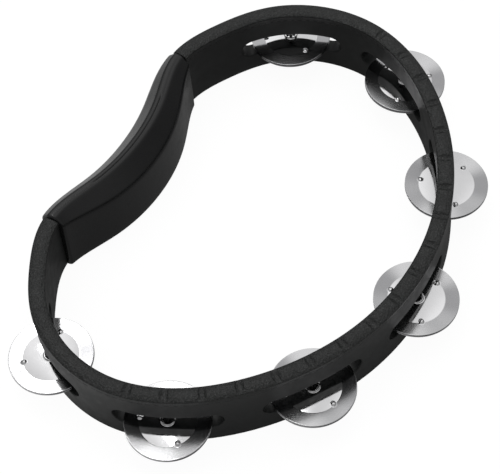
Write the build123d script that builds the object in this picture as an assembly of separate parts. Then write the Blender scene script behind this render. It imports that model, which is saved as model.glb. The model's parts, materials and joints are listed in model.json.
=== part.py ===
from build123d import *
from math import cos, radians
import os

# Hand-held tambourine: a kidney-shaped moulded hoop, a rubber grip over its hollow side, and seven pairs
# of steel jingles, each pair loose on a vertical pin in its own slot.
# Millimetres. +Z is up with the tambourine lying flat, +Y runs from the grip to the middle of the
# playing side, X runs across. The origin is under the middle of the bounding box, on the rest plane.
# Jingle 1 is the one next to the grip on the -X side, and jingle 7 the one next to it on the +X side.

# Hoop: the plan of its centre line, right half, from the playing side's middle to the grip's middle
HOOP_PLAN = [
    (0, 92.5),
    (36.5, 87.5),
    (69.5, 73),
    (98.5, 50.5),
    (120.5, 21),
    (128.8, -5),
    (127.5, -29),
    (113, -58),
    (88, -77),
    (61.5, -86.5),
    (30.5, -79),
    (0, -74.8),
]
HOOP_HEIGHT = 40.4
RIM_WIDTH = 8.8
RIM_DEPTH = 3.4
RIM_CROWN = 1.1
WALL_THICKNESS = 8.0
RIM_LIP = 0.4
RIM_ROOT_RADIUS = 0.9
RIM_EDGE_RADIUS = 1.2
FOOT_RADIUS = 1.6

# Slots, pins and the jingles' places along the hoop
STATIONS = (-3, -2, -1, 0, 1, 2, 3)
JINGLE_PITCH = 73.8
SLOT_LENGTH = 55.5
SLOT_HEIGHT = 11.2
SLOT_MIDDLE_Z = 17.9
SLOT_EDGE_RADIUS = 0.7
PIN_RADIUS = 0.9
PIN_CLEARANCE = 0.05
PIN_BOTTOM_Z = 1.0
PIN_TOP_Z = 32.0
PIN_END_GAP = 0.5
PIN_CHAMFER = 0.25

# Finger notches across the top of the rim
NOTCH_COUNT = 19
NOTCH_WIDTH = 4.6
NOTCH_DEPTH = 0.75

# Jingle: a thin spun disc with a raised collar, a flat plate, a step and a conical outer ring
JINGLE_RADIUS = 22.0
JINGLE_THICKNESS = 0.6
HOLE_RADIUS = 2.6
COLLAR_RADIUS = 3.6
COLLAR_RISE = 1.1
COLLAR_LIP = 0.5
COLLAR_FOOT = 0.3
STEP_RADIUS = 14.6
STEP_WIDTH = 0.8
STEP_RISE = 0.45
RING_RISE = 1.15
DIMPLE_COUNT = 3
DIMPLE_RADIUS = 1.1
DIMPLE_INSET = 0.6
DIMPLE_SINK = 0.4
PAIR_MIDDLE_Z = 16.0
PAIR_GAP = 0.3
# Each pair has slid outwards on its pin, leans a little, outer side down, and has spun to its own angle
JINGLE_SHIFT = 1.2
JINGLE_LEAN_DEGREES = (1.4, 2.2, 1.8, 2.4, 1.2, 2.0, 2.4)
JINGLE_TURN_DEGREES = (94, 100, 47, 69, 18, 26, 106)

# Grip: half widths, and the heights of its ridge and shoulders, at its ends and its middle
GRIP_HALF_LENGTH = 62.0
GRIP_END_HALF_WIDTH = 6.8
GRIP_MIDDLE_HALF_WIDTH = 11.6
GRIP_RIDGE_Z = 41.6
GRIP_END_SHOULDER_Z = 37.0
GRIP_MIDDLE_SHOULDER_Z = 31.5
GRIP_RIDGE_HALF_WIDTH = 2.0
GRIP_SWELL_POWER = 0.8
GRIP_CORNER_RADIUS = 2.4
GRIP_CLEARANCE = 0.2
GRIP_FLOOR = 1.4
GRIP_SECTIONS = 17
# Seat: the stretch of hoop inside the grip, where only the wall runs on, without its foot and its rim
SEAT_END_GAP = 0.15
SEAT_TOP_Z = 35.8

PARTS_FOLDER = "parts"
SAME_POINT = 0.01
HALVINGS = 30
ON_BASE = (Align.CENTER, Align.CENTER, Align.MIN)


def hoop_path():
    """The closed centre line at Z 0, starting at the middle of the playing side and running to +X."""
    right = Spline(*HOOP_PLAN, tangents=[(1, 0), (-1, 0)], tangent_scalars=[1, 1])
    left = right.mirror(Plane.YZ)
    return Wire([right.edge(), left.edge()])


class Station:
    """A place on the hoop, given by its distance along the centre line from the playing side's middle."""

    def __init__(self, path, distance):
        along = distance % path.length
        self.point = path.position_at(along, position_mode=PositionMode.LENGTH)
        self.tangent = path.tangent_at(along, position_mode=PositionMode.LENGTH)
        self.outward = Vector(-self.tangent.Y, self.tangent.X, 0)

    def plane(self, z, out=0.0):
        """Local X runs along the hoop, local Z outwards and local Y up."""
        origin = self.point + self.outward * out + Vector(0, 0, z)
        return Plane(origin=origin, x_dir=self.tangent * -1, z_dir=self.outward)

    def section(self):
        """Local X runs outwards and local Y up, for an outline that is swept along the hoop."""
        return Plane(origin=self.point, x_dir=self.outward, z_dir=self.tangent)

    def upright(self, z, out=0.0):
        """Local X runs outwards and local Z up."""
        origin = self.point + self.outward * out + Vector(0, 0, z)
        return Plane(origin=origin, x_dir=self.outward, z_dir=(0, 0, 1))


def hoop_section(station):
    """The wall and the crowned rim on top of it, cut square to the centre line at a station."""
    wall = WALL_THICKNESS / 2
    rim = RIM_WIDTH / 2
    root_z = HOOP_HEIGHT - RIM_DEPTH
    lip_z = root_z + RIM_LIP
    edge_z = HOOP_HEIGHT - RIM_CROWN
    right = Polyline((0, 0), (wall, 0), (wall, root_z), (rim, lip_z), (rim, edge_z))
    crown = ThreePointArc((rim, edge_z), (0, HOOP_HEIGHT), (-rim, edge_z))
    left = Polyline((-rim, edge_z), (-rim, lip_z), (-wall, root_z), (-wall, 0), (0, 0))
    face = make_face(right + crown + left)
    face = round_corners(face, wall, 0, FOOT_RADIUS)
    face = round_corners(face, wall, root_z, RIM_ROOT_RADIUS)
    face = round_corners(face, rim, edge_z, RIM_EDGE_RADIUS)
    return station.section() * face


def round_corners(face, half_width, height, radius):
    """Fillets the pair of corners that a section has at a height, at plus and minus a half width."""
    corner = Vector(half_width, height)
    pair = face.vertices().filter_by(lambda v: (Vector(abs(v.X), v.Y) - corner).length < SAME_POINT)
    return fillet(pair, radius)


def jingle_stations(path):
    return [Station(path, number * JINGLE_PITCH) for number in STATIONS]


def slot_cutter(station):
    """A round-ended opening straight through the wall."""
    opening = SlotOverall(SLOT_LENGTH, SLOT_HEIGHT)
    return extrude(station.plane(SLOT_MIDDLE_Z) * opening, RIM_WIDTH * 2, both=True)


def cut_slot(body, station):
    """Cuts one slot and rounds its edges on both faces of the wall."""
    cutter = slot_cutter(station)
    opened = body - cutter
    edges = new_edges(body, cutter, combined=opened)
    across_wall = WALL_THICKNESS * 1.5
    mouth = [edge for edge in edges if edge.length > across_wall]
    return fillet(mouth, SLOT_EDGE_RADIUS)


def notch_cutter(station):
    """A round scoop across the rim, deepest on its crown."""
    radius = ((NOTCH_WIDTH / 2) ** 2 + NOTCH_DEPTH**2) / (2 * NOTCH_DEPTH)
    centre_z = HOOP_HEIGHT + radius - NOTCH_DEPTH
    return station.plane(centre_z) * Cylinder(radius, RIM_WIDTH * 2)


def hoop(path):
    """The moulding: swept section, slots, blind pin holes from below, notches and the grip's seat."""
    body = sweep(hoop_section(Station(path, 0)), path=path)
    for station in jingle_stations(path):
        body = cut_slot(body, station)
        hole = Cylinder(PIN_RADIUS + PIN_CLEARANCE, PIN_TOP_Z + PIN_END_GAP, align=ON_BASE)
        body -= station.upright(0) * hole
    half = NOTCH_COUNT // 2
    for number in range(-half, half + 1):
        body -= notch_cutter(Station(path, number * JINGLE_PITCH / 4))
    return body - grip_seat(path)


def grip_seat(path):
    """What is cut off the hoop inside the grip: the foot below the grip's floor, and the whole rim."""
    stations = grip_stations(path, SEAT_END_GAP)
    foot = band_outline(RIM_WIDTH, -GRIP_FLOOR, GRIP_FLOOR)
    rim = band_outline(RIM_WIDTH, SEAT_TOP_Z, HOOP_HEIGHT + RIM_DEPTH)
    return [loft([station.section() * outline for station in stations]) for outline in (foot, rim)]


def band_outline(half_width, low_z, high_z):
    """The plain rectangular section of a band that follows the hoop."""
    return Pos(0, (low_z + high_z) / 2) * Rectangle(half_width * 2, high_z - low_z)


def pin(station):
    """A plain steel rod, pushed in from below, with broken ends."""
    length = PIN_TOP_Z - PIN_BOTTOM_Z
    rod = Cylinder(PIN_RADIUS, length, align=ON_BASE)
    rod = chamfer(rod.edges().filter_by(GeomType.CIRCLE), PIN_CHAMFER)
    return station.upright(PIN_BOTTOM_Z) * rod


def jingle_profile():
    """Half section, radius against height, with the plate's underside at 0."""
    step_out = STEP_RADIUS + STEP_WIDTH
    lift = JINGLE_THICKNESS
    under = [
        (HOLE_RADIUS, COLLAR_RISE - COLLAR_FOOT),
        (COLLAR_RADIUS, 0),
        (STEP_RADIUS, 0),
        (step_out, STEP_RISE),
        (JINGLE_RADIUS, STEP_RISE + RING_RISE),
    ]
    over = [
        (JINGLE_RADIUS, STEP_RISE + RING_RISE + lift),
        (step_out, STEP_RISE + lift),
        (STEP_RADIUS, lift),
        (COLLAR_RADIUS + COLLAR_FOOT, lift),
        (HOLE_RADIUS + COLLAR_LIP, COLLAR_RISE + lift),
        (HOLE_RADIUS, COLLAR_RISE + lift),
    ]
    return Plane.XZ * make_face(Polyline(*under, *over, close=True))


def jingle_blank():
    """One upper jingle about its own axis, dished upwards, with its ring of domed dimples."""
    disc = revolve(jingle_profile(), Axis.Z)
    for number in range(DIMPLE_COUNT):
        turn = Rot(0, 0, 360 / DIMPLE_COUNT * number)
        centre = Pos(STEP_RADIUS - DIMPLE_INSET, 0, JINGLE_THICKNESS - DIMPLE_SINK)
        block = Box(*[DIMPLE_RADIUS * 4] * 3, align=ON_BASE)
        above_plate = Pos(STEP_RADIUS, 0, JINGLE_THICKNESS / 2) * block
        disc += turn * (centre * Sphere(DIMPLE_RADIUS) & above_plate)
    return disc


def pair_plane(station, number):
    """Where a pair sits: shifted outwards on the pin, leaning outer side down, and turned."""
    lean = JINGLE_LEAN_DEGREES[number - 1]
    turn = JINGLE_TURN_DEGREES[number - 1]
    return station.upright(PAIR_MIDDLE_Z, JINGLE_SHIFT) * Rot(0, lean, 0) * Rot(0, 0, turn)


def upper_jingle(plane, blank):
    return plane * Pos(0, 0, PAIR_GAP / 2) * blank


def lower_jingle(plane, blank):
    """The same disc turned over, so that the two flat plates lie back to back."""
    return plane * Pos(0, 0, -PAIR_GAP / 2) * Rot(180, 0, 0) * blank


def grip_section(station, share):
    """The grip's outline at a share of its half length: 0 at its middle, 1 or -1 at an end."""
    fullness = cos(radians(90 * share)) ** GRIP_SWELL_POWER
    half_width = GRIP_END_HALF_WIDTH + (GRIP_MIDDLE_HALF_WIDTH - GRIP_END_HALF_WIDTH) * fullness
    shoulder = GRIP_END_SHOULDER_Z + (GRIP_MIDDLE_SHOULDER_Z - GRIP_END_SHOULDER_Z) * fullness
    outline = Polyline(
        (-half_width, 0),
        (half_width, 0),
        (half_width, shoulder),
        (GRIP_RIDGE_HALF_WIDTH, GRIP_RIDGE_Z),
        (-GRIP_RIDGE_HALF_WIDTH, GRIP_RIDGE_Z),
        (-half_width, shoulder),
        close=True,
    )
    face = make_face(outline)
    return station.section() * fillet(face.vertices(), GRIP_CORNER_RADIUS)


def grip_half_arc(path):
    """The distance along the centre line from the grip's middle to its end."""
    low, high = 0.0, path.length / 4
    for _ in range(HALVINGS):
        guess = (low + high) / 2
        if abs(Station(path, path.length / 2 - guess).point.X) < GRIP_HALF_LENGTH:
            low = guess
        else:
            high = guess
    return low


def grip_shares():
    """Evenly spaced shares of the grip's half length, from -1 at one end to 1 at the other."""
    return [2 * number / (GRIP_SECTIONS - 1) - 1 for number in range(GRIP_SECTIONS)]


def grip_stations(path, extra=0.0):
    """The stations of the grip's sections, or of a stretch that runs a little past each end."""
    reach = grip_half_arc(path) + extra
    return [Station(path, path.length / 2 + share * reach) for share in grip_shares()]


def grip(path):
    """The rubber moulding over the hoop's hollow side, hollowed to clear the wall that runs through it."""
    outside = [grip_section(*pair) for pair in zip(grip_stations(path), grip_shares())]
    core_half_width = WALL_THICKNESS / 2 + GRIP_CLEARANCE
    core = band_outline(core_half_width, GRIP_FLOOR - GRIP_CLEARANCE, SEAT_TOP_Z + GRIP_CLEARANCE)
    return loft(outside) - sweep(Station(path, 0).section() * core, path=path)


def tambourine():
    """Every piece by its node's name, in the hoop's own plan coordinates."""
    path = hoop_path()
    pieces = {"hoop": hoop(path), "grip": grip(path)}
    blank = jingle_blank()
    for number, station in enumerate(jingle_stations(path), start=1):
        plane = pair_plane(station, number)
        pieces[f"pin_{number}"] = pin(station)
        pieces[f"jingle_upper_{number}"] = upper_jingle(plane, blank)
        pieces[f"jingle_lower_{number}"] = lower_jingle(plane, blank)
    return pieces


def to_origin(pieces):
    """The move that puts the middle of the whole bounding box over the origin."""
    boxes = [piece.bounding_box() for piece in pieces.values()]
    middle_x = (min(box.min.X for box in boxes) + max(box.max.X for box in boxes)) / 2
    middle_y = (min(box.min.Y for box in boxes) + max(box.max.Y for box in boxes)) / 2
    return Pos(-middle_x, -middle_y, 0)


def main():
    os.makedirs(PARTS_FOLDER, exist_ok=True)
    pieces = tambourine()
    move = to_origin(pieces)
    for node, piece in pieces.items():
        placed = move * piece
        placed.label = node
        export_step(placed, os.path.join(PARTS_FOLDER, node + ".step"))


if __name__ == "__main__":
    main()
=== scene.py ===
import json
import math

import bmesh
import bpy
import numpy as np
from mathutils import Matrix, Vector
from mathutils.bvhtree import BVHTree


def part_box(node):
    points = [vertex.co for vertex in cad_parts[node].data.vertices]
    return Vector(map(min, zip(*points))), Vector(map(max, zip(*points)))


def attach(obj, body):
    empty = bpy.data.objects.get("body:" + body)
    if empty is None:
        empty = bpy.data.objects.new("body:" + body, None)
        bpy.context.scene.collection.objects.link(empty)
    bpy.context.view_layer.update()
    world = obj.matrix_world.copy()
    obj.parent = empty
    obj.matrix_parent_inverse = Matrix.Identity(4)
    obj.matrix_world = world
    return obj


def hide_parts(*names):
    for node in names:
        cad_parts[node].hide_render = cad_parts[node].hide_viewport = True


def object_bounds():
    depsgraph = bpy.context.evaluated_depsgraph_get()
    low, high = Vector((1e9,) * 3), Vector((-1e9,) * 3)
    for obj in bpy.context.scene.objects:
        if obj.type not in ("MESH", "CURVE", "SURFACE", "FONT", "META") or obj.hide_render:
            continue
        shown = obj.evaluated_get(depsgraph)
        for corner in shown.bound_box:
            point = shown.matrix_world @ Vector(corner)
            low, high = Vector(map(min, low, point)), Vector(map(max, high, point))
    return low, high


# The looks of a hand-held tambourine: a moulded black hoop with a grained, notched rim, a rubber grip
# over its hollow side, and seven pairs of spun steel jingles on steel pins.
# Metres, in the CAD frame: +Z up, the hoop's playing side towards +Y and its grip towards -Y.
MM = 0.001

# Hoop section, as the CAD has it: half widths, and heights below the rim's top
WALL_HALF = 4.0 * MM
RIM_HALF = 4.4 * MM
RIM_DEPTH = 3.4 * MM
RIM_LIP = 0.4 * MM
RIM_CROWN = 1.1 * MM
CROWN_HALF = 2.2 * MM
CROWN_RADIUS = 9.0 * MM
RIM_EDGE_RADIUS = 1.2 * MM
RIM_ROOT_RADIUS = 0.9 * MM
RIM_LIP_RADIUS = 0.3 * MM
WALL_CUT_BELOW_TOP = 4.7 * MM
SEAT_BELOW_TOP = 4.6 * MM
SEAT_GAP = 0.15 * MM
READ_BELOW_TOP = 6.0 * MM
RIM_STEP = 0.5 * MM
WALL_SMOOTH_ANGLE = math.radians(32)

# Finger notches across the rim
NOTCH_COUNT = 19
NOTCHES_PER_JINGLE = 4
NOTCH_DEPTH = 1.15 * MM
NOTCH_HALF = 2.3 * MM
NOTCH_SOFTNESS = 0.08 * MM
NOTCH_LIP = 0.18 * MM
NOTCH_LIP_WIDTH = 0.5 * MM

# Jingle section: its plate is domed between the collar and the crease where the ring starts
JINGLE_HOLE = 2.6 * MM
JINGLE_COLLAR = 3.35 * MM
JINGLE_COLLAR_TOP = 1.3 * MM
JINGLE_SHEET = 0.6 * MM
JINGLE_STEP = 14.6 * MM
JINGLE_DOME = 0.9 * MM
JINGLE_RING_RISE = 0.25 * MM
JINGLE_RADIUS = 22.0 * MM
DIMPLE_AT = 14.0 * MM
DIMPLE_RADIUS = 1.4 * MM
DIMPLE_RISE = 0.8 * MM
DIMPLE_COUNT = 3
DIMPLE_FULLNESS = 0.8
DIMPLE_SEARCH_WIDTH = 1.4 * MM
DIMPLE_SEARCH_HEIGHT = 1.12 * MM
COLLAR_ROLL = 0.75 * MM
SHEET_EDGE_RADIUS = 0.14 * MM
COLLAR_FOOT_RADIUS = 0.5 * MM
CREASE_RADIUS = 4.0 * MM
JINGLE_SMOOTH_ANGLE = math.radians(60)
RING_BLEND = 0.5 * MM

# Grip section at its ends and at its middle
GRIP_END_HALF = 6.8 * MM
GRIP_MIDDLE_HALF = 11.6 * MM
GRIP_END_SHOULDER = 4.6 * MM
GRIP_MIDDLE_SHOULDER = 10.1 * MM
GRIP_RIDGE_HALF = 2.0 * MM
GRIP_SWELL_POWER = 0.8
GRIP_CORE_HALF = 4.2 * MM
GRIP_CORE_FLOOR = 1.2 * MM
GRIP_CORE_BELOW_TOP = 5.6 * MM
GRIP_END_ROUNDING = 1.6 * MM
GRIP_FOOT_RADIUS = 2.6 * MM
GRIP_RIDGE_RADIUS = 4.4 * MM
GRIP_OUTER_RADII = (4.0 * MM, 9.0 * MM)
GRIP_INNER_RADII = (3.4 * MM, 4.8 * MM)
GRIP_CORE_NICK = 0.3 * MM
GRIP_CORE_RADIUS = 0.05 * MM
GRIP_SMOOTH_ANGLE = math.radians(50)
SEAM_DEPTH = 0.4 * MM
SEAM_HALF = 0.22 * MM
SEAM_REACH = 0.56
SEAM_FADE = 0.08

# Camera
CAMERA_AZIMUTH = 125.65
CAMERA_ELEVATION = 55.72
CAMERA_ROLL = 5.49
CAMERA_DISTANCE = 0.9834
CAMERA_LENS = 135.4
CAMERA_SENSOR = 36.0
CAMERA_TARGET = Vector((9.64, -10.4, 18.0)) * MM

# Paper: how bright it looks to the camera, and in reflections inside and outside the hoop's outline
FLOOR_GLOW_CAMERA = 0.95
FLOOR_GLOW_INSIDE = 0.12
FLOOR_GLOW_OUTSIDE = 0.50
FLOOR_SHADE_MIDDLE = (0.0, 0.0, 0.0)
FLOOR_SHADE_SCALE = (7.0, 9.2, 0.0)

# Dome: the soft glow on the far side, and the slow fans of light that brushed metal shows
GLOW_ELEVATION = 60
GLOW_EDGE = math.cos(math.radians(58))
GLOW_CORE = math.cos(math.radians(10))
GLOW_STRENGTH = 0.58
FAN_COUNT = 5
FAN_DARKEST = 0.72

JINGLES = range(1, 8)


# ---------------------------------------------------------------- outlines and meshes

def arc_corner(before, corner, after, radius, count):
    """The points of a corner rounded to a radius, from the side before it to the side after it."""
    back = (before - corner) / np.linalg.norm(before - corner)
    ahead = (after - corner) / np.linalg.norm(after - corner)
    half_angle = math.acos(np.clip(back @ ahead, -1, 1)) / 2
    middle = (back + ahead) / np.linalg.norm(back + ahead)
    centre = corner + middle * radius / math.sin(half_angle)
    first = corner + back * radius / math.tan(half_angle) - centre
    last = corner + ahead * radius / math.tan(half_angle) - centre
    turn = math.atan2(first[0] * last[1] - first[1] * last[0], first @ last)
    points = []
    for share in np.linspace(0, 1, count):
        c, s = math.cos(turn * share), math.sin(turn * share)
        points.append(centre + np.array([c * first[0] - s * first[1], s * first[0] + c * first[1]]))
    return points


def rounded_outline(corners, arc_points=7, closed=True):
    """An outline with rounded corners. A corner is (x, y, radius, points on the side that follows)."""
    places = [np.array(corner[:2]) for corner in corners]
    arcs = []
    for index, corner in enumerate(corners):
        end = not closed and index in (0, len(corners) - 1)
        if end:
            arcs.append([places[index]])
        else:
            before, after = places[index - 1], places[(index + 1) % len(places)]
            arcs.append(arc_corner(before, places[index], after, corner[2], arc_points))
    outline = []
    for index, arc in enumerate(arcs):
        outline += arc
        if closed or index < len(arcs) - 1:
            start, stop = arc[-1], arcs[(index + 1) % len(arcs)][0]
            steps = corners[index][3] + 1
            outline += [start + (stop - start) * n / steps for n in range(1, steps)]
    return np.array(outline)


def grid_faces(rows, columns, close_rows, close_columns):
    """Quads over a grid of points stored row by row."""
    down = np.arange(rows if close_rows else rows - 1)
    across = np.arange(columns if close_columns else columns - 1)
    r, c = np.meshgrid(down, across, indexing="ij")
    r2, c2 = (r + 1) % rows, (c + 1) % columns
    corners = (r * columns + c, r * columns + c2, r2 * columns + c2, r2 * columns + c)
    return np.stack(corners, axis=-1).reshape(-1, 4)


def mesh_object(name, points, faces, smooth_angle=None):
    """A new object from points and faces, smooth shaded."""
    mesh = bpy.data.meshes.new(name)
    mesh.from_pydata(points.reshape(-1, 3).tolist(), [], faces.tolist())
    mesh.polygons.foreach_set("use_smooth", [True] * len(mesh.polygons))
    if smooth_angle is not None:
        mesh.set_sharp_from_angle(angle=smooth_angle)
    made = bpy.data.objects.new(name, mesh)
    bpy.context.scene.collection.objects.link(made)
    return made


def face_outwards(made):
    """Turns every face of a closed mesh to point out of it."""
    shell = bmesh.new()
    shell.from_mesh(made.data)
    bmesh.ops.recalc_face_normals(shell, faces=shell.faces)
    shell.to_mesh(made.data)
    shell.free()


def finish_piece(piece, body, slot, material, *nodes):
    """Gives a piece its material and its CAD body, and hides the CAD nodes that it stands for."""
    piece.data.materials.clear()
    piece.data.materials.append(material)
    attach(piece, body)
    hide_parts(*nodes)


# ---------------------------------------------------------------- the hoop's centre line

class CentreLine:
    """The hoop's centre line in plan, measured on the CAD wall, from the middle of the playing side."""

    RAYS = 2400
    SMOOTHING = 9

    def __init__(self, hoop, height):
        tree = BVHTree.FromObject(hoop, bpy.context.evaluated_depsgraph_get())
        angles = math.pi / 2 - np.arange(self.RAYS) * 2 * math.pi / self.RAYS
        line = np.array([self.wall_middle(tree, angle, height) for angle in angles])
        line = self.even(self.smooth(line))
        self.points = self.smooth(line)
        ahead = np.roll(self.points, -1, axis=0) - np.roll(self.points, 1, axis=0)
        self.tangents = ahead / np.linalg.norm(ahead, axis=1)[:, None]
        steps = np.linalg.norm(np.roll(self.points, -1, axis=0) - self.points, axis=1)
        self.length = float(steps.sum())
        self.stations = np.concatenate([[0], np.cumsum(steps)[:-1]])

    @staticmethod
    def wall_middle(tree, angle, height):
        """The middle of the wall where a ray from the hoop's middle meets it."""
        direction = Vector((math.cos(angle), math.sin(angle), 0))
        inner, normal, _, _ = tree.ray_cast(Vector((0, 0, height)), direction)
        into = -normal if normal.dot(direction) < 0 else normal
        into = Vector((into.x, into.y, 0)).normalized()
        outer, _, _, _ = tree.ray_cast(inner + into * MM / 10, into)
        middle = (inner + outer) / 2
        return middle.x, middle.y

    def smooth(self, line):
        """A short running mean, which takes the facets out."""
        shifts = range(-(self.SMOOTHING // 2), self.SMOOTHING // 2 + 1)
        return sum(np.roll(line, shift, axis=0) for shift in shifts) / self.SMOOTHING

    def even(self, line):
        """The same closed line with points at even distances."""
        closed = np.vstack([line, line[:1]])
        steps = np.linalg.norm(np.diff(closed, axis=0), axis=1)
        along = np.concatenate([[0], np.cumsum(steps)])
        wanted = np.arange(self.RAYS) / self.RAYS * along[-1]
        return np.stack([np.interp(wanted, along, closed[:, axis]) for axis in (0, 1)], axis=1)

    def at(self, distance):
        """Points and outward directions at an array of distances."""
        place = np.asarray(distance) % self.length

        def read(values):
            both = [np.interp(place, self.stations, values[:, axis], period=self.length) for axis in (0, 1)]
            return np.stack(both, axis=-1)

        tangent = read(self.tangents)
        tangent /= np.linalg.norm(tangent, axis=-1)[..., None]
        outward = np.stack([-tangent[..., 1], tangent[..., 0]], axis=-1)
        return read(self.points), outward

    def nearest(self, places):
        """For points in plan: the distance along the line, and how far outwards they lie."""
        places = np.asarray(places)
        gaps = ((places[:, None, :] - self.points[None, ::4]) ** 2).sum(axis=2)
        index = gaps.argmin(axis=1) * 4
        outward = np.stack([-self.tangents[index, 1], self.tangents[index, 0]], axis=1)
        away = places - self.points[index]
        forward = (away * self.tangents[index]).sum(axis=1)
        return self.stations[index] + forward, (away * outward).sum(axis=1)

    def sweep(self, distances, sections):
        """Places sections of (outwards, up) points at distances: an array of rows, columns and 3."""
        point, outward = self.at(distances)
        flat = point[:, None, :] + outward[:, None, :] * sections[..., :1]
        return np.concatenate([flat, sections[..., 1:]], axis=2)


# ---------------------------------------------------------------- pieces

def grip_reach(line):
    """How far the CAD grip runs along the centre line to each side of the hollow side's middle."""
    mesh = frame["nodes"]["grip"].data
    plan = np.array([vertex.co[:2] for vertex in mesh.vertices])
    distance, _ = line.nearest(plan)
    return float(np.abs(distance - line.length / 2).max())


def notch_stations(line):
    """The distances of the finger notches: four to a jingle, evenly to both sides of the middle."""
    joints = {joint["name"]: joint for joint in frame["joints"]}
    pins = np.array([joints[f"pair_{number}_spin"]["pos_m"][:2] for number in JINGLES])
    distance, _ = line.nearest(pins)
    distance = np.where(distance > line.length / 2, distance - line.length, distance)
    pitch = (distance.max() - distance.min()) / (len(JINGLES) - 1) / NOTCHES_PER_JINGLE
    return (np.arange(NOTCH_COUNT) - NOTCH_COUNT // 2) * pitch


def notch_floor(gap, top):
    """The height of a round scoop's floor, by distance from its middle."""
    radius = (NOTCH_HALF**2 + NOTCH_DEPTH**2) / (2 * NOTCH_DEPTH)
    return top - NOTCH_DEPTH + gap**2 / (2 * radius)


def soft_least(first, second, softness):
    """The lesser of two heights, with the crease between them rounded."""
    share = np.clip(0.5 + 0.5 * (second - first) / softness, 0, 1)
    return second * (1 - share) + first * share - softness * share * (1 - share)


def rim_outline(top):
    """The rim's half-open section: from the outer wall over the crown to the inner wall."""
    root, lip, edge = top - RIM_DEPTH, top - RIM_DEPTH + RIM_LIP, top - RIM_CROWN
    cut = top - WALL_CUT_BELOW_TOP
    outer = [
        (WALL_HALF, cut, 0, 1),
        (WALL_HALF, root, RIM_ROOT_RADIUS, 0),
        (RIM_HALF, lip, RIM_LIP_RADIUS, 1),
        (RIM_HALF, edge, RIM_EDGE_RADIUS, 1),
    ]
    crown = (CROWN_HALF, top, CROWN_RADIUS, 1)
    mirrored = [(-x, z, radius, 1) for x, z, radius, _ in [crown] + outer[::-1]]
    return rounded_outline(outer + [crown] + mirrored, closed=False)


def rim_sections(line, distances, top, reach):
    """The rim's section at each distance, with the notches scooped out and cut down inside the grip."""
    outline = rim_outline(top)
    sections = np.repeat(outline[None], len(distances), axis=0)
    signed = np.where(distances > line.length / 2, distances - line.length, distances)
    gap = np.abs(signed[:, None] - notch_stations(line)[None]).min(axis=1)[:, None]
    height = sections[..., 1]
    on_crown = np.clip((height - (top - RIM_CROWN)) / RIM_CROWN, 0, 1)
    lip = NOTCH_LIP * np.exp(-(((gap - NOTCH_HALF) / NOTCH_LIP_WIDTH) ** 2)) * on_crown
    upper = height > top - RIM_DEPTH / 2
    scooped = soft_least(height, notch_floor(gap, top), NOTCH_SOFTNESS) + lip
    sections[..., 1] = np.where(upper & (gap < NOTCH_HALF * 2), np.minimum(scooped, top), height)
    inside = np.abs(distances - line.length / 2) < reach + SEAT_GAP
    sections[inside, :, 1] = np.minimum(sections[inside, :, 1], top - SEAT_BELOW_TOP)
    sections[inside, :, 0] = np.clip(sections[inside, :, 0], -WALL_HALF, WALL_HALF)
    return sections


def rim_distances(line, reach):
    """Even distances round the hoop, with a pair close together at each end of the grip's seat."""
    even = np.arange(0, line.length, RIM_STEP)
    ends = line.length / 2 + np.array([-1, 1]) * (reach + SEAT_GAP)
    even = even[(np.abs(even[:, None] - ends[None]) > RIM_STEP).all(axis=1)]
    steps = np.concatenate([ends - RIM_STEP / 50, ends + RIM_STEP / 50])
    return np.sort(np.concatenate([even, steps]))


def stitch(shell, ring_a, ring_b):
    """Joins two rings of vertices, both ordered by their angle round the origin, with triangles."""
    def turns(ring):
        return [math.atan2(v.co.y, v.co.x) for v in ring]

    ring_a, ring_b = (sorted(ring, key=lambda v: math.atan2(v.co.y, v.co.x)) for ring in (ring_a, ring_b))
    turn_a, turn_b = turns(ring_a), turns(ring_b)
    turn_a.append(turn_a[0] + 2 * math.pi)
    turn_b.append(turn_b[0] + 2 * math.pi)
    a = b = 0
    while a < len(ring_a) or b < len(ring_b):
        vertex_a, vertex_b = ring_a[a % len(ring_a)], ring_b[b % len(ring_b)]
        step_a = b >= len(ring_b) or (a < len(ring_a) and turn_a[a + 1] < turn_b[b + 1])
        if step_a:
            a += 1
            third = ring_a[a % len(ring_a)]
        else:
            b += 1
            third = ring_b[b % len(ring_b)]
        shell.faces.new((vertex_a, vertex_b, third))


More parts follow.
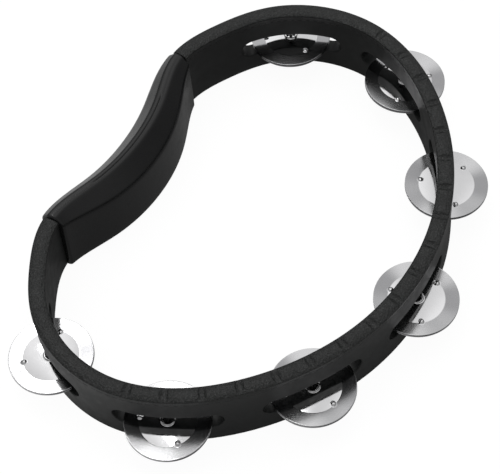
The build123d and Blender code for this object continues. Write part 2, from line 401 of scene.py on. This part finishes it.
def make_hoop(line, reach, material):
    """The CAD wall up to just under the rim, with a finer, notched and softened rim stitched on top."""
    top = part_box("hoop")[1].z
    cut = top - WALL_CUT_BELOW_TOP
    shell = bmesh.new()
    shell.from_mesh(frame["nodes"]["hoop"].data)
    bmesh.ops.remove_doubles(shell, verts=shell.verts, dist=MM / 1000)
    geometry = shell.verts[:] + shell.edges[:] + shell.faces[:]
    bmesh.ops.bisect_plane(
        shell, geom=geometry, plane_co=(0, 0, cut), plane_no=(0, 0, 1), clear_outer=True
    )
    edge_verts = {v for edge in shell.edges if edge.is_boundary for v in edge.verts}
    wall_ring = [v for v in edge_verts if abs(v.co.z - cut) < MM / 100]
    _, side = line.nearest([v.co[:2] for v in wall_ring])
    distances = rim_distances(line, reach)
    points = line.sweep(distances, rim_sections(line, distances, top, reach))
    rows, columns = points.shape[:2]
    rim = [shell.verts.new(point) for point in points.reshape(-1, 3)]
    for face in grid_faces(rows, columns, True, False):
        shell.faces.new([rim[index] for index in face])
    outer_rim = [rim[row * columns] for row in range(rows)]
    inner_rim = [rim[row * columns + columns - 1] for row in range(rows)]
    stitch(shell, [v for v, away in zip(wall_ring, side) if away > 0], outer_rim)
    stitch(shell, [v for v, away in zip(wall_ring, side) if away <= 0], inner_rim)
    bmesh.ops.recalc_face_normals(shell, faces=shell.faces)
    mesh = bpy.data.meshes.new("hoop_moulding")
    shell.to_mesh(mesh)
    shell.free()
    mesh.polygons.foreach_set("use_smooth", [True] * len(mesh.polygons))
    mesh.set_sharp_from_angle(angle=WALL_SMOOTH_ANGLE)
    made = bpy.data.objects.new("hoop_moulding", mesh)
    bpy.context.scene.collection.objects.link(made)
    even = made.modifiers.new("even_normals", "WEIGHTED_NORMAL")
    even.keep_sharp = True
    even.weight = 80
    finish_piece(made, "hoop", "hoop_plastic", material, "hoop")
    return made


def grip_outline(share, top):
    """The grip's section at a share of its half length, outer side first."""
    fullness = math.cos(math.radians(90 * share)) ** GRIP_SWELL_POWER
    half = GRIP_END_HALF + (GRIP_MIDDLE_HALF - GRIP_END_HALF) * fullness
    shoulder = top - GRIP_END_SHOULDER - (GRIP_MIDDLE_SHOULDER - GRIP_END_SHOULDER) * fullness
    outer_radius, inner_radius = (
        end + (middle - end) * fullness for end, middle in (GRIP_OUTER_RADII, GRIP_INNER_RADII)
    )
    corners = [
        (half, 0, GRIP_FOOT_RADIUS, 8),
        (half, shoulder, outer_radius, 6),
        (GRIP_RIDGE_HALF, top, GRIP_RIDGE_RADIUS, 14),
        (-GRIP_RIDGE_HALF, top, GRIP_RIDGE_RADIUS, 6),
        (-half, shoulder, inner_radius, 8),
        (-half, 0, GRIP_FOOT_RADIUS, 8),
    ]
    outline = rounded_outline(corners, arc_points=9)
    fade = 1 - smooth_step(abs(share), SEAM_REACH - SEAM_FADE, SEAM_REACH)
    near_top = outline[:, 1] > top - MM
    groove = SEAM_DEPTH * np.exp(-((outline[:, 0] / SEAM_HALF) ** 2)) * fade * near_top
    outline[:, 1] -= groove
    return outline


def smooth_step(value, low, high):
    """A smooth rise from 0 to 1 between two values."""
    share = np.clip((value - low) / (high - low), 0, 1)
    return share * share * (3 - 2 * share)


def grip_core_outline(top):
    """The section of the tunnel that the hoop's wall runs through, point for point like the outside."""
    high = top - GRIP_CORE_BELOW_TOP
    half, low = GRIP_CORE_HALF, GRIP_CORE_FLOOR
    nick, radius = GRIP_CORE_NICK, GRIP_CORE_RADIUS
    corners = [
        (half, low, radius, 8),
        (half, high - nick, radius, 6),
        (half - nick, high, radius, 14),
        (nick - half, high, radius, 6),
        (-half, high - nick, radius, 8),
        (-half, low, radius, 8),
    ]
    return rounded_outline(corners, arc_points=9)


def inset(outline, amount):
    """The outline moved inwards by an amount, along its own normals."""
    along = np.roll(outline, -1, axis=0) - np.roll(outline, 1, axis=0)
    normal = np.stack([-along[:, 1], along[:, 0]], axis=1)
    normal /= np.linalg.norm(normal, axis=1)[:, None] + 1e-12
    return outline + normal * amount


def make_grip(line, reach, material):
    """The rubber grip: swelling gable section, rounded ends, a parting seam and a tunnel for the wall."""
    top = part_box("grip")[1].z
    rounding, middle = GRIP_END_ROUNDING, line.length / 2
    straight = reach - rounding
    shares = np.linspace(-1, 1, 161) * straight / reach
    rows = [(middle + share * reach, grip_outline(share, top)) for share in shares]
    core = grip_core_outline(top)
    ends = []
    for side in (1, -1):
        cap = []
        for turn in np.linspace(0, math.pi / 2, 8)[1:]:
            out = straight + rounding * math.sin(turn)
            shape = inset(grip_outline(side * out / reach, top), rounding * (1 - math.cos(turn)))
            cap.append((middle + side * out, shape))
        cap.append((middle + side * reach, core))
        ends.append(cap)
    tunnel = [(middle + share * reach, core) for share in np.linspace(1, -1, 60)[1:-1]]
    rows = rows + ends[0] + tunnel + ends[1][::-1]
    distances = np.array([row[0] for row in rows])
    points = line.sweep(distances, np.array([row[1] for row in rows]))
    faces = grid_faces(points.shape[0], points.shape[1], True, True)
    made = mesh_object("grip_sleeve", points, faces, smooth_angle=GRIP_SMOOTH_ANGLE)
    face_outwards(made)
    finish_piece(made, "hoop", "grip_rubber", material, "grip")
    return made


def jingle_outline():
    """The spun disc's closed half section: under the plate outwards, then back over the top."""
    sheet, rim_low = JINGLE_SHEET, JINGLE_RING_RISE
    tiny, soft, crease = SHEET_EDGE_RADIUS, COLLAR_FOOT_RADIUS, CREASE_RADIUS
    corners = [
        (JINGLE_HOLE, COLLAR_ROLL, tiny, 0),
        (JINGLE_HOLE + COLLAR_ROLL, 0, soft, 8),
        (JINGLE_STEP, 0, crease, 8),
        (JINGLE_RADIUS, rim_low, tiny, 0),
        (JINGLE_RADIUS, rim_low + sheet, tiny, 14),
        (JINGLE_STEP, sheet, crease, 26),
        (JINGLE_COLLAR + soft, sheet, soft * 0.7, 0),
        (JINGLE_COLLAR, JINGLE_COLLAR_TOP, tiny * 2, 0),
        (JINGLE_HOLE, JINGLE_COLLAR_TOP, tiny * 2, 0),
    ]
    return rounded_outline(corners, arc_points=5)


def jingle_turns(first):
    """Angles round a disc: even ones, and finer ones over each dimple."""
    even = np.linspace(0, 360, 120, endpoint=False)
    spread = math.degrees(DIMPLE_RADIUS * 1.3 / DIMPLE_AT)
    dimples = first + np.arange(DIMPLE_COUNT) * 360 / DIMPLE_COUNT
    away = np.abs((even[:, None] - dimples[None] + 180) % 360 - 180)
    kept = even[(away > spread).all(axis=1)]
    fine = np.concatenate([dimple + np.linspace(-spread, spread, 17) for dimple in dimples])
    return np.radians(np.sort(np.concatenate([kept, fine % 360]))), np.radians(dimples)


def disc_frame(node):
    """Where a CAD disc lies: local Z along its axis towards the dished side, and its first dimple's angle."""
    places = np.array([vertex.co[:] for vertex in frame["nodes"][node].data.vertices])
    centre = (places.min(axis=0) + places.max(axis=0)) / 2
    rim = places[np.linalg.norm(places - centre, axis=1) > JINGLE_RADIUS - 0.3 * MM]
    axis = np.linalg.svd(rim - rim.mean(axis=0))[2][2]
    if (rim @ axis).mean() < (places @ axis).mean():
        axis = -axis
    across = np.cross([0, 1, 0], axis)
    across /= np.linalg.norm(across)
    upright = np.stack([across, np.cross(axis, across), axis])
    local = places @ upright.T
    low, high = local.min(axis=0), local.max(axis=0)
    origin = np.array([(low[0] + high[0]) / 2, (low[1] + high[1]) / 2, low[2]])
    local = local - origin
    radius = np.hypot(local[:, 0], local[:, 1])
    raised = (np.abs(radius - DIMPLE_AT) < DIMPLE_SEARCH_WIDTH) & (local[:, 2] > DIMPLE_SEARCH_HEIGHT)
    angle = np.arctan2(local[raised, 1], local[raised, 0]) * DIMPLE_COUNT
    first = math.degrees(math.atan2(np.sin(angle).mean(), np.cos(angle).mean())) / DIMPLE_COUNT
    place = Matrix(upright.T.tolist()).to_4x4()
    place.translation = Vector(upright.T @ origin)
    return place, first


def make_jingle(node, material):
    """One spun disc with a rolled collar, a domed plate, a nearly flat ring and embossed dimples."""
    place, first = disc_frame(node)
    outline = jingle_outline()
    turns, dimples = jingle_turns(first)
    radius, height = np.meshgrid(outline[:, 0], turns)[0], np.meshgrid(outline[:, 1], turns)[0]
    turn = np.repeat(turns[:, None], len(outline), axis=1)
    x, y = radius * np.cos(turn), radius * np.sin(turn)
    height = height + JINGLE_DOME * np.clip(1 - (radius / JINGLE_STEP) ** 2, 0, 1)
    for dimple in dimples:
        away = np.hypot(x - DIMPLE_AT * math.cos(dimple), y - DIMPLE_AT * math.sin(dimple))
        height = height + DIMPLE_RISE * np.clip(1 - (away / DIMPLE_RADIUS) ** 2, 0, 1) ** DIMPLE_FULLNESS
    points = np.stack([x, y, height], axis=-1)
    faces = grid_faces(len(turns), len(outline), True, True)
    made = mesh_object("disc_" + node, points, faces, smooth_angle=JINGLE_SMOOTH_ANGLE)
    face_outwards(made)
    made.matrix_world = place
    finish_piece(made, node, "jingle_steel", material, node)
    return made


# ---------------------------------------------------------------- materials

def put(tree, kind, inputs=None, **settings):
    """Adds a node with its settings, and sets or wires its inputs."""
    node = tree.nodes.new("ShaderNode" + kind)
    for name, value in settings.items():
        setattr(node, name, value)
    for name, value in (inputs or {}).items():
        if isinstance(value, bpy.types.NodeSocket):
            tree.links.new(value, node.inputs[name])
        else:
            node.inputs[name].default_value = value
    return node


def math_node(tree, operation, first, second=0.0):
    return put(tree, "Math", {0: first, 1: second}, operation=operation).outputs[0]


def map_range(tree, value, low, high, to_low=0.0, to_high=1.0):
    inputs = {"Value": value, "From Min": low, "From Max": high, "To Min": to_low, "To Max": to_high}
    return put(tree, "MapRange", inputs, interpolation_type="SMOOTHSTEP").outputs["Result"]


def noise(tree, where, size, detail=2.0, rough=0.5):
    """Noise whose grains are about the given size in metres."""
    inputs = {"Vector": where, "Scale": 1 / size, "Detail": detail, "Roughness": rough}
    return put(tree, "TexNoise", inputs).outputs["Fac"]


def mix_color(tree, share, first, second):
    node = tree.nodes.new("ShaderNodeMix")
    node.data_type = "RGBA"
    for index, value in ((0, share), (6, first), (7, second)):
        if isinstance(value, bpy.types.NodeSocket):
            tree.links.new(value, node.inputs[index])
        else:
            node.inputs[index].default_value = value
    return node.outputs[2]


def bump(tree, height, depth, strength=1.0, normal=None):
    inputs = {"Height": height, "Distance": depth, "Strength": strength}
    if normal is not None:
        inputs["Normal"] = normal
    return put(tree, "Bump", inputs).outputs["Normal"]


def new_material(name):
    """An empty material: its node tree and the socket that its surface goes to."""
    material = bpy.data.materials.new(name)
    material.use_nodes = True
    material.node_tree.nodes.clear()
    surface = material.node_tree.nodes.new("ShaderNodeOutputMaterial").inputs["Surface"]
    return material, material.node_tree, surface


def place_of(tree, kind="Object"):
    return put(tree, "TexCoord").outputs[kind]


def hoop_plastic(top):
    """Black moulded plastic: pebble grain, with light flecks painted on the rim that stand in for the glints
    of its grain, and a satin, faintly uneven wall.

    It is less glossy to glossy rays, so that the jingles mirror it nearly black.
    """
    material, tree, surface = new_material("hoop_plastic")
    where = place_of(tree)
    height = put(tree, "SeparateXYZ", {0: where}).outputs["Z"]
    on_rim = map_range(tree, height, top - 2.6 * MM, top - 1.2 * MM)
    pebbles = put(tree, "TexVoronoi", {"Vector": where, "Scale": 1 / (1.1 * MM)}, feature="SMOOTH_F1")
    grain = math_node(tree, "ADD", pebbles.outputs["Distance"], noise(tree, where, 0.9 * MM, 3))
    satin = noise(tree, where, 1.1 * MM, 3)
    waves = noise(tree, where, 14 * MM, 2)
    normal = bump(tree, waves, 0.12 * MM, 0.5)
    normal = bump(tree, satin, 0.02 * MM, 0.5, normal)
    grain_depth = math_node(tree, "MULTIPLY", grain, on_rim)
    normal = bump(tree, grain_depth, 0.36 * MM, 1.0, normal)
    patches = noise(tree, where, 22 * MM, 3)
    shade = mix_color(tree, patches, (0.008, 0.0088, 0.0085, 1), (0.014, 0.0155, 0.0148, 1))
    # Painted highlights: light flecks in the base colour on the rim's top, standing in for the glints of the
    # pebble grain.
    glint_specks = map_range(tree, noise(tree, where, 1.0 * MM, 2), 0.50, 0.68)
    painted_glints = math_node(tree, "MULTIPLY", on_rim, glint_specks)
    shade = mix_color(tree, math_node(tree, "MULTIPLY", painted_glints, 0.5), shade, (0.046, 0.047, 0.047, 1))
    rough = map_range(tree, noise(tree, where, 6 * MM, 4), 0.3, 0.7, 0.40, 0.50)
    rim_rough = math_node(tree, "ADD", rough, math_node(tree, "MULTIPLY", on_rim, 0.02))
    seen_in_mirror = put(tree, "LightPath").outputs["Is Glossy Ray"]
    gloss = map_range(tree, seen_in_mirror, 0, 1, 0.5, 0.15)
    inputs = {"Base Color": shade, "Roughness": rim_rough, "Normal": normal, "Specular IOR Level": gloss}
    skin = put(tree, "BsdfPrincipled", inputs)
    tree.links.new(skin.outputs[0], surface)
    return material


def grip_rubber():
    """Smooth satin black rubber with a faint skin, soft flow waves and a little dust in its pores."""
    material, tree, surface = new_material("grip_rubber")
    where = place_of(tree)
    normal = bump(tree, noise(tree, where, 9 * MM, 2), 0.10 * MM, 0.4)
    normal = bump(tree, noise(tree, where, 0.35 * MM, 3), 0.02 * MM, 0.5, normal)
    clouds = noise(tree, where, 18 * MM, 3)
    shade = mix_color(tree, clouds, (0.006, 0.006, 0.0065, 1), (0.010, 0.0105, 0.011, 1))
    dust = map_range(tree, noise(tree, where, 1.6 * MM, 5, 0.7), 0.60, 0.78, 0.0, 0.25)
    shade = mix_color(tree, dust, shade, (0.035, 0.035, 0.036, 1))
    rough = map_range(tree, noise(tree, where, 5 * MM, 4), 0.3, 0.7, 0.19, 0.27)
    inputs = {
        "Base Color": shade,
        "Roughness": rough,
        "Normal": normal,
        "Specular IOR Level": 0.5,
        "Sheen Weight": 0.04,
        "Sheen Roughness": 0.4,
    }
    skin = put(tree, "BsdfPrincipled", inputs)
    tree.links.new(skin.outputs[0], surface)
    return material


def jingle_steel():
    """Stainless sheet: a near mirror on the plate with faint spin rings, and an anisotropic ring whose tone
    is painted in light and dark fans, standing in for the reflections of its spin brushing.
    """
    material, tree, surface = new_material("jingle_steel")
    where = place_of(tree)
    parts = put(tree, "SeparateXYZ", {0: where})
    flat = put(tree, "CombineXYZ", {0: parts.outputs["X"], 1: parts.outputs["Y"]}).outputs[0]
    radius = put(tree, "VectorMath", {0: flat}, operation="LENGTH").outputs["Value"]
    on_ring = map_range(tree, radius, JINGLE_STEP, JINGLE_STEP + RING_BLEND)
    line_place = put(tree, "CombineXYZ", {0: radius}).outputs[0]
    lines = noise(tree, line_place, 0.09 * MM, 3, 0.7)
    wide_lines = noise(tree, line_place, 0.8 * MM, 2)
    line_share = map_range(tree, on_ring, 0, 1, 0.06, 0.5)
    normal = bump(tree, wide_lines, 0.010 * MM, 0.35)
    height = math_node(tree, "MULTIPLY", lines, line_share)
    normal = bump(tree, height, 0.006 * MM, 0.6, normal)
    scuffs = noise(tree, where, 4 * MM, 6, 0.7)
    tone = mix_color(tree, scuffs, (0.80, 0.795, 0.805, 1), (0.88, 0.88, 0.89, 1))
    # Painted reflection: the ring's tone is lighter and darker in fans round the disc, standing in for the
    # fans of light that its spin brushing reflects.
    turned = math_node(tree, "ARCTAN2", parts.outputs["Y"], parts.outputs["X"])
    slow = put(tree, "Math", {0: turned, 1: 2.0, 2: 0.9}, operation="MULTIPLY_ADD").outputs[0]
    quick = put(tree, "Math", {0: turned, 1: 5.0, 2: 0.3}, operation="MULTIPLY_ADD").outputs[0]
    fans = math_node(tree, "MULTIPLY", math_node(tree, "SINE", quick), 0.45)
    fans = math_node(tree, "ADD", math_node(tree, "SINE", slow), fans)
    painted_fan_tone = mix_color(tree, map_range(tree, fans, -1.2, 1.2), (0.36, 0.36, 0.37, 1), (0.86, 0.86, 0.87, 1))
    tone = mix_color(tree, math_node(tree, "MULTIPLY", on_ring, 0.85), tone, painted_fan_tone)
    plate_rough = map_range(tree, scuffs, 0.35, 0.7, 0.05, 0.11)
    ring_rough = map_range(tree, lines, 0.3, 0.7, 0.13, 0.20)
    rough = math_node(
        tree,
        "ADD",
        math_node(tree, "MULTIPLY", ring_rough, on_ring),
        math_node(tree, "MULTIPLY", plate_rough, math_node(tree, "SUBTRACT", 1.0, on_ring)),
    )
    turn = put(tree, "Tangent", direction_type="RADIAL", axis="Z").outputs[0]
    inputs = {
        "Base Color": tone,
        "Metallic": 1.0,
        "Roughness": rough,
        "Anisotropic": math_node(tree, "MULTIPLY", on_ring, 0.85),
        "Anisotropic Rotation": 0.25,
        "Tangent": turn,
        "Normal": normal,
    }
    skin = put(tree, "BsdfPrincipled", inputs)
    tree.links.new(skin.outputs[0], surface)
    return material


def pin_steel():
    """Drawn steel wire: fine lines along it and a slightly oiled, darker tone."""
    material, tree, surface = new_material("pin_steel")
    where = place_of(tree)
    drawn = put(tree, "Mapping", {0: where, 3: (1, 1, 0.03)}).outputs[0]
    lines = noise(tree, drawn, 0.12 * MM, 3)
    tone = mix_color(tree, noise(tree, where, 3 * MM, 4), (0.12, 0.12, 0.125, 1), (0.26, 0.255, 0.25, 1))
    inputs = {
        "Base Color": tone,
        "Metallic": 1.0,
        "Roughness": map_range(tree, lines, 0.3, 0.7, 0.22, 0.36),
        "Normal": bump(tree, lines, 0.01 * MM, 0.5),
    }
    skin = put(tree, "BsdfPrincipled", inputs)
    tree.links.new(skin.outputs[0], surface)
    return material


# ---------------------------------------------------------------- stage

def floor_paper():
    """White studio paper: even to the camera, while reflections see it shaded inside the hoop and far out."""
    material, tree, surface = new_material("studio_paper")
    where = place_of(tree)
    fibre = noise(tree, where, 1.5 * MM, 4)
    camera_ray = put(tree, "LightPath").outputs["Is Camera Ray"]
    distance = put(tree, "VectorMath", {0: where}, operation="LENGTH").outputs["Value"]
    from_middle = put(tree, "Mapping", {0: where, 1: FLOOR_SHADE_MIDDLE, 3: FLOOR_SHADE_SCALE}).outputs[0]
    from_middle = put(tree, "VectorMath", {0: from_middle}, operation="LENGTH").outputs["Value"]
    # Painted shade: in reflections the paper's glow is lower inside the hoop's outline, where the hoop would
    # shade it, and it fades far out.
    outside = map_range(tree, from_middle, 0.92, 1.15, FLOOR_GLOW_INSIDE, FLOOR_GLOW_OUTSIDE)
    far = map_range(tree, distance, 0.22, 0.6, 1.0, 0.15)
    seen_by_object = math_node(tree, "MULTIPLY", outside, far)
    glow = put(tree, "Mix", {0: camera_ray, 2: seen_by_object, 3: FLOOR_GLOW_CAMERA}).outputs[0]
    tone = mix_color(tree, fibre, (0.10, 0.10, 0.10, 1), (0.12, 0.12, 0.12, 1))
    inputs = {
        "Base Color": tone,
        "Roughness": 0.9,
        "Specular IOR Level": 0.1,
        "Emission Color": (1, 1, 1, 1),
        "Emission Strength": glow,
    }
    skin = put(tree, "BsdfPrincipled", inputs)
    tree.links.new(skin.outputs[0], surface)
    return material


def make_floor():
    """A wide sheet of white paper at the height that the tambourine rests on."""
    sheet = bmesh.new()
    bmesh.ops.create_grid(sheet, x_segments=8, y_segments=8, size=6.0)
    mesh = bpy.data.meshes.new("floor")
    sheet.to_mesh(mesh)
    sheet.free()
    made = bpy.data.objects.new("floor", mesh)
    mesh.materials.append(floor_paper())
    bpy.context.scene.collection.objects.link(made)
    made.location.z = min(0.0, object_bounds()[0].z) - 0.05 * MM


def direction(azimuth, elevation):
    """The unit vector from the object towards a place at an azimuth and an elevation, in degrees."""
    a, e = math.radians(azimuth), math.radians(elevation)
    return Vector((math.sin(a) * math.cos(e), -math.cos(a) * math.cos(e), math.sin(e)))


def make_softbox(name, azimuth, elevation, distance, width, height, watts, mirrored=False):
    """A rectangular area light that looks at the object, and that shows in reflections if mirrored."""
    light = bpy.data.lights.new(name, "AREA")
    light.shape = "RECTANGLE"
    light.size, light.size_y = width, height
    light.energy = watts
    made = bpy.data.objects.new(name, light)
    made.location = direction(azimuth, elevation) * distance
    made.rotation_mode = "QUATERNION"
    made.rotation_quaternion = (-made.location).to_track_quat("-Z", "Y")
    made.visible_glossy = mirrored
    bpy.context.scene.collection.objects.link(made)


def make_world():
    """A studio dome: white to the camera; to the object a broad soft glow on the far side, in faint fans."""
    world = bpy.data.worlds.new("studio")
    bpy.context.scene.world = world
    world.use_nodes = True
    tree = world.node_tree
    tree.nodes.clear()
    way = place_of(tree, "Generated")
    parts = put(tree, "SeparateXYZ", {0: way}).outputs
    base = map_range(tree, parts["Z"], -0.05, 0.6, 0.13, 0.40)
    far = direction(CAMERA_AZIMUTH + 180, GLOW_ELEVATION)
    towards = put(tree, "VectorMath", {0: way, 1: far}, operation="DOT_PRODUCT").outputs["Value"]
    glow = map_range(tree, towards, GLOW_EDGE, GLOW_CORE, 0.0, GLOW_STRENGTH)
    turn = math_node(tree, "ARCTAN2", parts["Y"], parts["X"])
    wave = put(tree, "Math", {0: math_node(tree, "MULTIPLY", turn, FAN_COUNT)}, operation="SINE").outputs[0]
    fans = map_range(tree, wave, -1, 1, FAN_DARKEST, 1.0)
    tone = math_node(tree, "MULTIPLY", math_node(tree, "ADD", base, glow), fans)
    camera_ray = put(tree, "LightPath").outputs["Is Camera Ray"]
    strength = math_node(tree, "MAXIMUM", tone, camera_ray)
    sky = put(tree, "Background", {"Color": (1, 1, 1, 1), "Strength": strength})
    output = tree.nodes.new("ShaderNodeOutputWorld")
    tree.links.new(sky.outputs[0], output.inputs["Surface"])


def make_camera():
    data = bpy.data.cameras.new("camera")
    data.lens = CAMERA_LENS
    data.sensor_width = CAMERA_SENSOR
    camera = bpy.data.objects.new("camera", data)
    back = direction(CAMERA_AZIMUTH, CAMERA_ELEVATION)
    look = (-back).to_track_quat("-Z", "Y").to_matrix().to_4x4()
    roll = Matrix.Rotation(math.radians(-CAMERA_ROLL), 4, "Z")
    camera.matrix_world = Matrix.Translation(CAMERA_TARGET + back * CAMERA_DISTANCE) @ look @ roll
    bpy.context.scene.collection.objects.link(camera)
    bpy.context.scene.camera = camera


def make_stage():
    make_floor()
    make_world()
    far = CAMERA_AZIMUTH + 180
    make_softbox("far_softbox", far, 52, 1.6, 1.1, 0.9, 0.7)
    make_softbox("top_softbox", CAMERA_AZIMUTH, 86, 1.5, 1.0, 1.0, 0.6)
    make_softbox("side_softbox", CAMERA_AZIMUTH - 70, 30, 1.5, 0.5, 0.9, 0.7)
    make_softbox("far_strip", far + 30, 66, 1.4, 0.10, 0.8, 0.9, mirrored=True)
    make_camera()
    bpy.context.scene.view_settings.view_transform = "Standard"


# ---------------------------------------------------------------- the whole scene

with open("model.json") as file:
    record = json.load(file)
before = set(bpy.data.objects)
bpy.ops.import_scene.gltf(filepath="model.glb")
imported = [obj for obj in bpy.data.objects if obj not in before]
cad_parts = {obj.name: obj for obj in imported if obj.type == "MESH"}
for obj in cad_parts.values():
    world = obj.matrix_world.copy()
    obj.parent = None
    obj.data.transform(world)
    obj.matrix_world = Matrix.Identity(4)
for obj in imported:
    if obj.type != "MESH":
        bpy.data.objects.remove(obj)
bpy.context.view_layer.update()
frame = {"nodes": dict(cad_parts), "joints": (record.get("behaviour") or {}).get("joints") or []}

hoop_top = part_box("hoop")[1].z
line = CentreLine(frame["nodes"]["hoop"], hoop_top - READ_BELOW_TOP)
reach = grip_reach(line)
make_hoop(line, reach, hoop_plastic(hoop_top))
make_grip(line, reach, grip_rubber())

steel, wire = jingle_steel(), pin_steel()
for number in JINGLES:
    for layer in ("upper", "lower"):
        make_jingle(f"jingle_{layer}_{number}", steel)
    pin = frame["nodes"][f"pin_{number}"]
    pin.data.materials.clear()
    pin.data.materials.append(wire)

make_stage()
